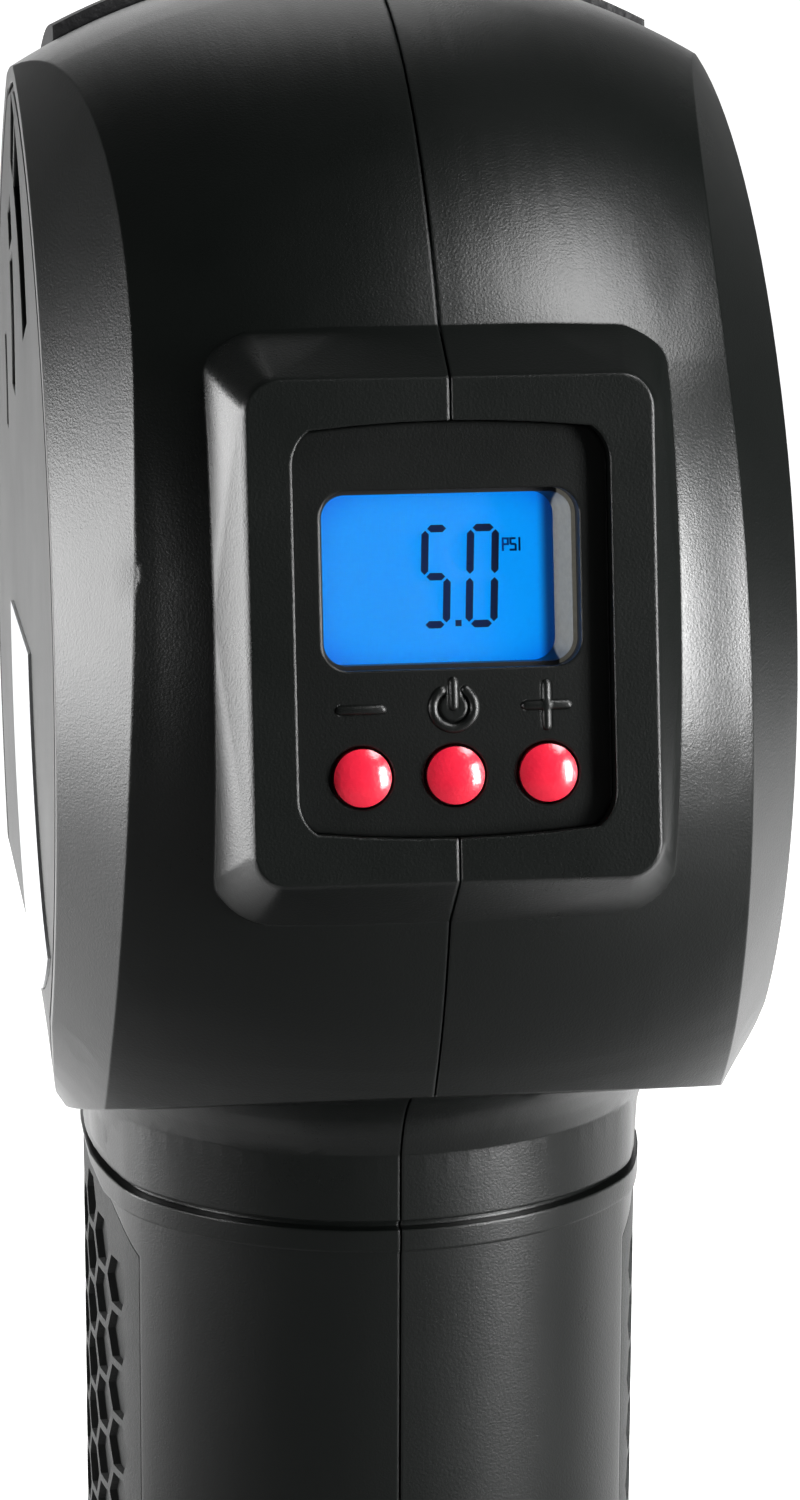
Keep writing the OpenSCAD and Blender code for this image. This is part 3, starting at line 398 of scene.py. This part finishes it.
finishes = {
    "shell": grained("shell_black", BLACK, roughness=0.27, grain=0.00018, depth=0.000025),
    "cover": grained("cover_black", BLACK, roughness=0.34, grain=0.00018, depth=0.00002),
    "badge": silver_paint(),
    "pad": rubber("pad_rubber", (0.006, 0.0072, 0.0068)),
    "panel": grained("panel_black", PANEL_BLACK, roughness=0.28, grain=0.00016, depth=0.00002),
    "bezel": display_frame(),
    "window": clear_plastic("display_window_clear", (1.0, 1.0, 1.0)),
    "lcd": lit_display(),
    "board": circuit_green(),
    "switch": metal("switch_steel", (0.6, 0.6, 0.6), roughness=0.3),
    "button": red_plastic(),
    "trigger": grained("trigger_black", (0.014, 0.015, 0.016), roughness=0.42, grain=0.0004, depth=0.00006),
    "brass": metal("fitting_brass", (0.72, 0.50, 0.20), roughness=0.26),
    "lens": clear_plastic("light_lens_clear", (0.95, 0.97, 1.0)),
    "reflector": metal("reflector_bright", (0.9, 0.9, 0.9), roughness=0.12),
    "led": grained("led_yellow", (0.80, 0.72, 0.22), roughness=0.4, grain=0.0002, depth=0.00001),
    "clip": grained("clip_grey", (0.085, 0.09, 0.09), roughness=0.46, grain=0.0004, depth=0.00005),
    "fairing": grained("fairing_black", (0.011, 0.011, 0.012), roughness=0.5, grain=0.0009, depth=0.00022),
    "motor": metal("motor_steel", (0.50, 0.51, 0.52), roughness=0.32),
    "shaft": metal("shaft_steel", (0.62, 0.62, 0.63), roughness=0.2),
    "fan": grained("fan_black", (0.02, 0.02, 0.022), roughness=0.4, grain=0.0005, depth=0.00004),
    "alloy": metal("cast_alloy", (0.52, 0.53, 0.54), roughness=0.45, grain=0.0009, depth=0.00008),
    "tube": rubber("tube_rubber", (0.012, 0.012, 0.013)),
    "terminal": grained("terminal_black", NEUTRAL_BLACK, roughness=0.45, grain=0.0005, depth=0.00004),
    "case": grained("battery_case_black", BLACK, roughness=0.41, grain=0.00028, depth=0.00006),
    "cell": cell_wrap(),
    "latch": grained("latch_grey", (0.07, 0.073, 0.075), roughness=0.42, grain=0.0004, depth=0.00005),
    "socket": metal("socket_steel", (0.58, 0.58, 0.6), roughness=0.28),
    "sole": rubber("sole_rubber", (0.010, 0.010, 0.011)),
    "screw": metal("screw_black_zinc", (0.16, 0.16, 0.17), roughness=0.35),
}

for part in frame["record"]["subparts"]:
    node = nodes[part["node"]]
    node.data.materials.clear()
    node.data.materials.append(finishes[part["material_slot"]])

# ---------- display segments ----------

GLASS_FRONT = -60.4
SEGMENT_T = 0.03

# which bars are lit: top, upper left, upper right, middle, lower left, lower right, bottom
DIGIT_BARS = {"5": "1101011", "0": "1110111"}
DIGIT_LOW = 1.3
DIGIT_HIGH = 10.5
BAR_W = 0.72
BAR_GAP = 0.18
# how far a digit's top stands to the right of its foot
DIGIT_LEAN = 0.35
# each digit's left and right
DIGITS = (("5", -1.75, 0.45), ("0", 2.65, 5.05))
POINT_X = 1.45
POINT_W = 0.6
POINT_LOW, POINT_HIGH = 1.1, 1.7

UNIT_LEFT = 5.9
LETTER_LINE = 0.2
LETTER_W = 0.5
LETTER_STEP = 0.75
LAST_LETTER_STEP = 0.87
LETTER_LOW, LETTER_HIGH = 8.2, 9.5


def stroke(mesh, start, end, width, pointed=False):
    """A flat bar from start to end on the glass; pointed ends are mitred."""
    start, end = Vector(start), Vector(end)
    along = (end - start).normalized()
    side = Vector((-along.y, along.x)) * width / 2
    outline = [start + side, end + side, end - side, start - side]
    if pointed:
        tip = along * width / 2
        outline = [start - tip, *outline[:2], end + tip, *outline[2:]]
    back = GLASS_FRONT - SEGMENT_T
    corners = [mesh.verts.new(FROM_DRUM @ (Vector((p.x, back, p.y)) * MM)) for p in outline]
    grown = bmesh.ops.extrude_face_region(mesh, geom=[mesh.faces.new(corners)])
    moved = [v for v in grown["geom"] if isinstance(v, bmesh.types.BMVert)]
    inward = FROM_DRUM.to_3x3() @ Vector((0, SEGMENT_T * MM, 0))
    bmesh.ops.translate(mesh, verts=moved, vec=inward)


def digit(mesh, sign, left, right):
    """The lit bars of one digit between left and right."""
    low, high = DIGIT_LOW, DIGIT_HIGH
    middle = (low + high) / 2
    bars = (
        ((left, high), (right, high)),
        ((left, middle), (left, high)),
        ((right, middle), (right, high)),
        ((left, middle), (right, middle)),
        ((left, low), (left, middle)),
        ((right, low), (right, middle)),
        ((left, low), (right, low)),
    )
    for ends, lit in zip(bars, DIGIT_BARS[sign]):
        if lit == "1":
            a, b = (Vector((x + DIGIT_LEAN * (z - middle) / (high - low), z)) for x, z in ends)
            inset = (b - a).normalized() * (BAR_GAP + BAR_W / 2)
            stroke(mesh, a + inset, b - inset, BAR_W, pointed=True)


def unit_letters(mesh):
    """The small unit of pressure beside the number."""
    left, low, high = UNIT_LEFT, LETTER_LOW, LETTER_HIGH
    middle = (low + high) / 2
    half = LETTER_LINE / 2

    def line(*ends):
        stroke(mesh, *ends, LETTER_LINE)

    right = left + LETTER_W
    line((left, low), (left, high))
    line((left, high - half), (right, high - half))
    line((left, middle), (right, middle))
    line((right, middle - half), (right, high))
    left += LETTER_STEP
    right += LETTER_STEP
    line((left, high - half), (right, high - half))
    line((left, middle), (left, high))
    line((left, middle), (right, middle))
    line((right, low), (right, middle))
    line((left - half, low + half), (right, low + half))
    left += LAST_LETTER_STEP
    line((left, low), (left, high))


def finished(name, mesh, material):
    """Turns a bmesh into a piece that rides on the housing."""
    bmesh.ops.recalc_face_normals(mesh, faces=mesh.faces)
    data = bpy.data.meshes.new(name)
    mesh.to_mesh(data)
    mesh.free()
    data.materials.append(material)
    piece = linked(name, data)
    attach(piece, "housing")
    return piece


def make_segments():
    mesh = bmesh.new()
    for sign, left, right in DIGITS:
        digit(mesh, sign, left, right)
    stroke(mesh, (POINT_X, POINT_LOW), (POINT_X, POINT_HIGH), POINT_W)
    finished("display_segments", mesh, flat_ink("segment_navy", (0.0, 0.006, 0.035)))
    mesh = bmesh.new()
    unit_letters(mesh)
    finished("display_unit", mesh, flat_ink("unit_blue", (0.0, 0.045, 0.32)))


make_segments()

# ---------- symbols above the buttons ----------

PANEL_FRONT = -66.2
BUTTON_PITCH = 8.9
SYMBOL_Z = -6.375
SYMBOL_W = 4.9
BEAD_W = 0.9
BEAD_RISE = 0.28
# how deep the bead's foot stands in the panel
BEAD_SINK = 0.25
BEAD_SIDES = 8
# angles at which rings close a bead's end
BEAD_CAP = [math.radians(angle) for angle in (35, 65, 84)]
# the power sign's arc, which leaves its gap at the top
ARC_START = 125
ARC_SWEEP = 290
ARC_STEPS = 40
POWER_FOOT = 0.1
POWER_REACH = 0.5
SYMBOL_SHARP = math.radians(50)


def bead_ring(mesh, centre, side, share):
    """A half-round section of a bead, as share of its full size."""
    ring = []
    for k in range(BEAD_SIDES + 1):
        a = math.pi * k / BEAD_SIDES
        flat = centre + side * (BEAD_W / 2 * share * math.cos(a))
        ring.append((flat.x, PANEL_FRONT - BEAD_RISE * share * math.sin(a), flat.y))
    foot = [(x, PANEL_FRONT + BEAD_SINK, z) for x, _, z in (ring[-1], ring[0])]
    return [mesh.verts.new(FROM_DRUM @ (Vector(p) * MM)) for p in ring + foot]


def bead(mesh, path):
    """A half-round bead along a path on the panel's front, with rounded ends."""
    rings = []
    last = len(path) - 1
    for i, point in enumerate(path):
        ahead = (path[min(i + 1, last)] - path[max(i - 1, 0)]).normalized()
        side = Vector((-ahead.y, ahead.x))
        sections = [(point, 1.0)]
        if i in (0, last):
            out = (-ahead if i == 0 else ahead) * BEAD_W / 2
            caps = [(point + out * math.sin(a), math.cos(a)) for a in BEAD_CAP]
            sections = caps[::-1] + sections if i == 0 else sections + caps
        rings += [bead_ring(mesh, centre, side, share) for centre, share in sections]
    for a, b in zip(rings, rings[1:]):
        for k in range(len(a)):
            n = (k + 1) % len(a)
            mesh.faces.new((a[k], a[n], b[n], b[k]))
    mesh.faces.new(rings[0])
    mesh.faces.new(rings[-1][::-1])


def make_symbols():
    mesh = bmesh.new()
    half = SYMBOL_W / 2 - BEAD_W / 2
    across, upward = Vector((half, 0)), Vector((0, half))
    minus, power, plus = (Vector((i * BUTTON_PITCH, SYMBOL_Z)) for i in (-1, 0, 1))
    bead(mesh, [minus - across, minus + across])
    bead(mesh, [plus - across, plus + across])
    bead(mesh, [plus - upward, plus + upward])
    turn = [math.radians(ARC_START + i * ARC_SWEEP / ARC_STEPS) for i in range(ARC_STEPS + 1)]
    bead(mesh, [power + Vector((math.cos(a), math.sin(a))) * half for a in turn])
    bead(mesh, [power + Vector((0, POWER_FOOT)), power + Vector((0, half + POWER_REACH))])
    symbols = finished("panel_symbols", mesh, finishes["panel"])
    symbols.data.shade_smooth()
    symbols.data.set_sharp_from_angle(angle=SYMBOL_SHARP)


make_symbols()

# ---------- reshaped copies of nodes ----------

# points of a node's loose triangles that lie closer than this are one point, in metres
WELD = 0.000001
SHARP = math.radians(24)


def copied(name):
    """A merged copy of a node's mesh, in the model's place."""
    mesh = bmesh.new()
    mesh.from_mesh(nodes[name].data)
    mesh.transform(nodes[name].matrix_world)
    bmesh.ops.remove_doubles(mesh, verts=mesh.verts, dist=WELD)
    return mesh


def replacement(name, mesh, slot):
    """Puts a reshaped copy in the place of its node."""
    data = bpy.data.meshes.new(name + "_shaped")
    mesh.to_mesh(data)
    mesh.free()
    # the loose triangles' own normals don't fit the merged copy
    if data.attributes.get("custom_normal"):
        data.attributes.remove(data.attributes["custom_normal"])
    data.shade_smooth()
    data.set_sharp_from_angle(angle=SHARP)
    data.materials.clear()
    data.materials.append(finishes[slot])
    piece = linked(name + "_shaped", data)
    piece.modifiers.new("even_normals", "WEIGHTED_NORMAL").keep_sharp = True
    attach(piece, "housing")
    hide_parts(name)


def ramp(value, start, end, most=1):
    """0 at start, 1 at end and straight between, held at 0 and at most."""
    return min(max((value - start) / (end - start), 0), most)


def smooth_step(value, start, end):
    t = ramp(value, start, end)
    return t * t * (3 - 2 * t)


# ---------- display frame and window ----------

# the frame's right wall slants in by SLANT between these places, down to its inner edge
SLANT = 1.2
SLANT_START, SLANT_END = 8.0, 9.6
FRAME_INNER_W = 12.1
FRAME_INNER_H = 8.2
# how far the glass stands off the display behind it
GLASS_GAP = 0.06
# points this far before or behind the glass's front are the frame's wall and the window's rear
NEAR_GLASS = 0.5


def slope_display_frame():
    """The frame's right wall slants down to the glass."""
    mesh = copied("lcd_frame")
    for v in mesh.verts:
        place = TO_DRUM @ v.co / MM
        inner = abs(place.x) < FRAME_INNER_W and abs(place.z - LCD_Z) < FRAME_INNER_H
        if inner and place.y > GLASS_FRONT - NEAR_GLASS:
            place.x -= SLANT * smooth_step(place.x, SLANT_START, SLANT_END)
            v.co = FROM_DRUM @ (place * MM)
    replacement("lcd_frame", mesh, "bezel")


def seat_window():
    """The window stands a hair's breadth off the display behind it."""
    mesh = copied("display_window")
    for v in mesh.verts:
        place = TO_DRUM @ v.co / MM
        if place.y > GLASS_FRONT + NEAR_GLASS:
            v.co = FROM_DRUM @ ((place - Vector((0, GLASS_GAP, 0))) * MM)
    replacement("display_window", mesh, "window")


slope_display_frame()
seat_window()

# ---------- foot of the display pod ----------

# half-width of the pod's rim, of its walls' straight foot, and how far the side walls spread by depth
RIM_HALF = 19.9
FOOT_HALF = 22.3
RIM_DEPTH = 67.0
SIDE_SPREAD = 0.2727
POD_REAR = -56.0
# the drum's band beside the pod: radius of its curve and height of the curve's centre
BAND_RADIUS = 64.4
BAND_RISE = 2.4
# thickness within which points count as the shell's outer skin
SKIN = 2.6
# the band beside the foot gives way over this distance
FADE = 7
# the side walls' foot is straight between these levels, and fades to its old line beyond them
SIDE_LOW_END, SIDE_LOW = -29.0, -23.0
SIDE_HIGH, SIDE_HIGH_END = 25.0, 32.0
# the top and bottom walls: half-height of the rim, old half-height of the foot in the middle, how far
# it bows out at the corners, and its new half-height
POD_TOP = (25.3, 30.4, 6.4, 31.5)
POD_BOTTOM = (23.2, 28.4, 4.6, 30.6)
BOW_POWER = 2.3
# the foot's new level fades out beyond the corners between these half-widths
CORNER, CORNER_END = 23, 29
# the levels beyond the rim that the walls and the band beside them take up
WALL_START, WALL_END = 0.3, 18


def band_depth(level):
    """How far behind its axis the drum's band lies, beside the pod."""
    return math.sqrt(BAND_RADIUS ** 2 - (level - BAND_RISE) ** 2)


def foot_share(reach, rim, foot):
    """How much of the foot's move a point follows: none at the rim, all at the foot, less beyond."""
    return (reach - rim) / (foot - rim) if reach < foot else max(0, 1 - (reach - foot) / FADE)


def straight_sides(place):
    """Sets the foot of the pod's side walls on one straight line."""
    x, y, z = TO_DRUM @ place / MM
    reach = abs(x)
    if reach <= RIM_HALF or y > POD_REAR:
        return place
    foot = RIM_HALF + SIDE_SPREAD * (RIM_DEPTH - band_depth(z))
    ends = smooth_step(z, SIDE_LOW_END, SIDE_LOW) * (1 - smooth_step(z, SIDE_HIGH, SIDE_HIGH_END))
    move = (FOOT_HALF - foot) * foot_share(reach, RIM_HALF, foot) * ends
    return FROM_DRUM @ (Vector((math.copysign(reach + move, x), y, z)) * MM)


def level_ends(place):
    """Sets the foot of the pod's top and bottom walls on straight lines, along the band."""
    x, y, z = TO_DRUM @ place / MM
    rim, middle, bow, target = POD_TOP if z > 0 else POD_BOTTOM
    reach = abs(z)
    beyond = reach - rim
    if abs(x) > CORNER_END or beyond < WALL_START or beyond > WALL_END or -y < band_depth(z) - SKIN:
        return place
    foot = middle + bow * min(abs(x) / FOOT_HALF, 1) ** BOW_POWER
    sides = 1 - smooth_step(abs(x), CORNER, CORNER_END)
    move = (target - foot) * foot_share(reach, rim, foot) * sides
    level = math.copysign(reach + move, z)
    return FROM_DRUM @ (Vector((x, y + band_depth(z) - band_depth(level), level)) * MM)


# ---------- lower corners of the drum ----------

# levels from the drum's axis, in the upright model, between which its sides draw in
NARROW_TOP = -33.0
NARROW_LOW = -54.6
# half-widths between which they do: the grip's, which stays, and the drum's face
GRIP_HALF = 30.4
FACE_HALF = 36.7
WIDEST_SHARE = 1.1
# how far they draw in at the rear and how much more at the front, and where that changes
NARROW_REAR = 1.8
NARROW_MORE = 2.8
REAR_Y, FRONT_Y = -35.0, 10.0
# how far the underside lifts at its corners, between which half-widths and down to which level
LOW_LIFT = 2.6
LIFT_START, LIFT_END = 26.0, 36.0
LIFT_FLOOR = -55.5
# level cuts that give the sides points to bend at
CUTS = 9
CUT_STEP = 2.6
CUT_REACH = 0.0000001


def narrowed(place):
    """Draws the drum's sides in towards the neck, more at the front than at the rear."""
    level = place.z / MM - DRUM_Z
    reach = abs(place.x) / MM
    fall = ramp(level, NARROW_TOP, NARROW_LOW)
    most = NARROW_REAR + NARROW_MORE * smooth_step(place.y / MM - DRUM_Y, REAR_Y, FRONT_Y)
    move = most * fall * ramp(reach, GRIP_HALF, FACE_HALF, WIDEST_SHARE)
    lift = LOW_LIFT * fall ** 3 * ramp(reach, LIFT_START, LIFT_END) if level > LIFT_FLOOR else 0
    return Vector((place.x - math.copysign(move * MM, place.x), place.y, place.z + lift * MM))


def reshape_drum(name, slot):
    """A copy of one of the drum's pieces with the pod's foot and the lower corners reshaped."""
    mesh = copied(name)
    for i in range(CUTS):
        height = (DRUM_Z + NARROW_TOP - i * CUT_STEP) * MM
        everything = [*mesh.verts, *mesh.edges, *mesh.faces]
        bmesh.ops.bisect_plane(
            mesh, geom=everything, plane_co=(0, 0, height), plane_no=(0, 0, 1), dist=CUT_REACH,
        )
    for v in mesh.verts:
        v.co = narrowed(level_ends(straight_sides(v.co)))
    replacement(name, mesh, slot)


for kind, slot in (("housing", "shell"), ("side_cover", "cover"), ("badge", "badge")):
    for side in ("left", "right"):
        reshape_drum(f"{side}_{kind}", slot)

# ---------- stage, in metres ----------

FLOOR_HALF = 2.2
FLOOR_FAR = 1.6
BACKDROP_RISE = 2.2
SWEEP_RADIUS = 0.6
SWEEP_STEPS = 24
FLOOR_PALE = (0.80, 0.80, 0.80)
FLOOR_DIM = (0.12, 0.12, 0.12)
FLOOR_GLOW = 0.9
# the floor turns from dim to pale, and its glow begins, over these distances from front to back
PALE_Y = (-0.12, 0.08)
GLOW_Y = (-0.04, 0.12)
# and the glow begins and ends over these, from left to right
GLOW_LEFT = (-0.5, -0.25)
GLOW_RIGHT = (0.5, 0.75)


def make_stage():
    """Floor that is dim before the tool, glows behind it and rises into a backdrop in one sweep."""
    mesh = bmesh.new()
    bmesh.ops.create_grid(mesh, x_segments=1, y_segments=1, size=FLOOR_HALF)
    back = [e for e in mesh.edges if all(v.co.y > 0 for v in e.verts)]
    for v in {v for e in back for v in e.verts}:
        v.co.y = FLOOR_FAR
    centre = (0, FLOOR_FAR, SWEEP_RADIUS)
    arc = bmesh.ops.spin(
        mesh, geom=back, cent=centre, axis=(1, 0, 0), angle=math.radians(90), steps=SWEEP_STEPS,
    )
    edge = [e for e in arc["geom_last"] if isinstance(e, bmesh.types.BMEdge)]
    wall = bmesh.ops.extrude_edge_only(mesh, edges=edge)
    for v in wall["geom"]:
        if isinstance(v, bmesh.types.BMVert):
            v.co.z += BACKDROP_RISE
    for f in mesh.faces:
        f.smooth = True
    data = bpy.data.meshes.new("floor")
    mesh.to_mesh(data)
    mesh.free()
    finish = Finish("floor_pale", FLOOR_PALE, 0.7)
    x, y, _ = finish.axes()
    lit = y.step(*GLOW_Y) * x.step(*GLOW_LEFT) * (1 - x.step(*GLOW_RIGHT))
    finish.put("Base Color", finish.mix(y.step(*PALE_Y), FLOOR_DIM, FLOOR_PALE))
    finish.put("Emission Color", finish.mix(lit, (0.0, 0.0, 0.0), (1.0, 1.0, 1.0)))
    finish.put("Emission Strength", FLOOR_GLOW)
    data.materials.append(finish.material)
    linked("floor", data)


# what the lights point at, and the light from all around
LIGHT_TARGET = (0, -0.02, 0.17)
AMBIENT = 0.03


def soft_light(name, place, width, height, power):
    """A rectangular light at a place in the model, that points at the tool."""
    data = bpy.data.lights.new(name, "AREA")
    data.shape = "RECTANGLE"
    data.size = width
    data.size_y = height
    data.energy = power
    light = linked(name, data)
    light.location = place
    look = Vector(LIGHT_TARGET) - Vector(place)
    light.rotation_euler = look.to_track_quat("-Z", "Y").to_euler()


def make_light():
    world = bpy.data.worlds.new("studio")
    world.use_nodes = True
    background = world.node_tree.nodes["Background"]
    background.inputs["Color"].default_value = (1, 1, 1, 1)
    background.inputs["Strength"].default_value = AMBIENT
    bpy.context.scene.world = world
    soft_light("key_right", (0.60, -0.53, 0.24), width=0.20, height=0.50, power=13)
    soft_light("side_left", (-0.70, 0.24, 0.10), width=0.40, height=0.44, power=6)
    soft_light("rim_left", (-0.68, -0.28, 0.22), width=0.06, height=0.20, power=1.9)
    soft_light("top_right", (0.42, -0.30, 0.85), width=0.34, height=0.34, power=5)
    bpy.context.scene.view_settings.view_transform = "Standard"


make_stage()
make_light()
